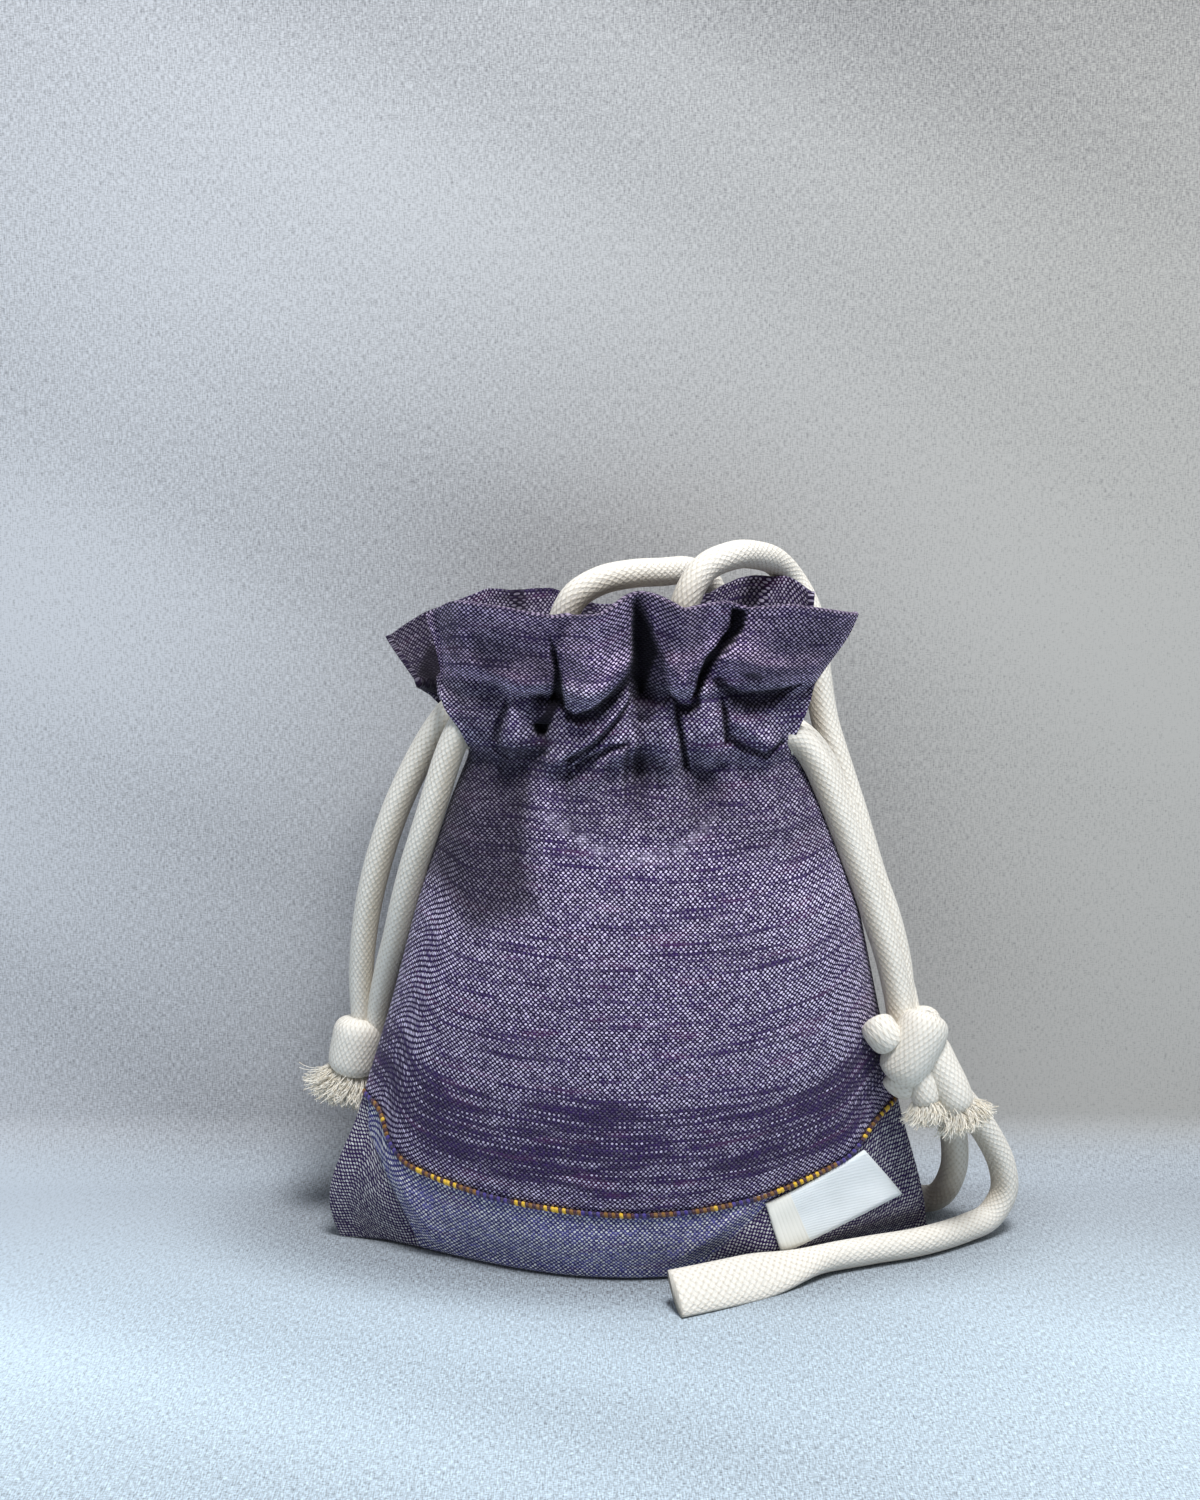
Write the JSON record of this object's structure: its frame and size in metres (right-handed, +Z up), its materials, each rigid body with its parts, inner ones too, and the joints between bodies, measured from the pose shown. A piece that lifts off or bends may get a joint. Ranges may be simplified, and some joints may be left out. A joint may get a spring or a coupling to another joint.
{
  "type": "drawstring pouch",
  "caption": "Small lined drawstring pouch of slub cotton with a gathered casing, flared frill, knotted cotton pulls at both sides and a long carry cord.",
  "frame": {"origin": "middle of the flat base, on the surface that the pouch stands on", "axes": "+Z up towards the frill, +X to the right as the front is seen, -Y towards the front with the trim line and the label"},
  "size_m": [0.1794, 0.0828, 0.1799],
  "materials": {
    "slub_cotton": "violet and white slub plain weave, dry and matt",
    "base_cotton": "bluer and lighter slub plain weave, dry and matt",
    "lining_cotton": "plain pale cotton",
    "trim_yarn": "woven line of yellow, brown and violet yarn",
    "label_tape": "bare cream twill tape",
    "cotton_cord": "cream braided cotton cord, soft and matt"
  },
  "bodies": {
    "bag": {"front_panel": "slub_cotton", "back_panel": "slub_cotton", "base_panel": "base_cotton", "lining": "lining_cotton", "front_casing": "slub_cotton", "back_casing": "slub_cotton", "back_frill": "slub_cotton", "trim": "trim_yarn", "label": "label_tape", "left_drawcord": "cotton_cord", "right_drawcord": "cotton_cord", "carry_loop": "cotton_cord", "carry_tail": "cotton_cord"},
    "front_lip": {"front_frill": "slub_cotton"},
    "left_pull": {"left_outer_end": "cotton_cord", "left_inner_end": "cotton_cord", "left_knot": "cotton_cord", "left_tuft": "cotton_cord"},
    "right_pull": {"right_front_end": "cotton_cord", "right_back_end": "cotton_cord", "right_knot": "cotton_cord", "right_tuft": "cotton_cord"}
  },
  "joints": [
    {"name": "left_draw", "type": "slide", "parent": "bag", "child": "left_pull", "axis": [-1, 0, 0], "range_m": [0, 0.035], "deforming": ["left_outer_end", "left_inner_end"]},
    {"name": "right_draw", "type": "slide", "parent": "bag", "child": "right_pull", "axis": [1, 0, 0], "range_m": [0, 0.035], "deforming": ["right_front_end", "right_back_end", "carry_loop", "carry_tail"]},
    {"name": "front_lip_fold", "type": "hinge", "parent": "bag", "child": "front_lip", "pos_m": [0, -0.0138, 0.1424], "axis": [1, 0, 0], "range_deg": [0, 40], "stiffness_Nm_per_rad": 0.02}
  ]
}
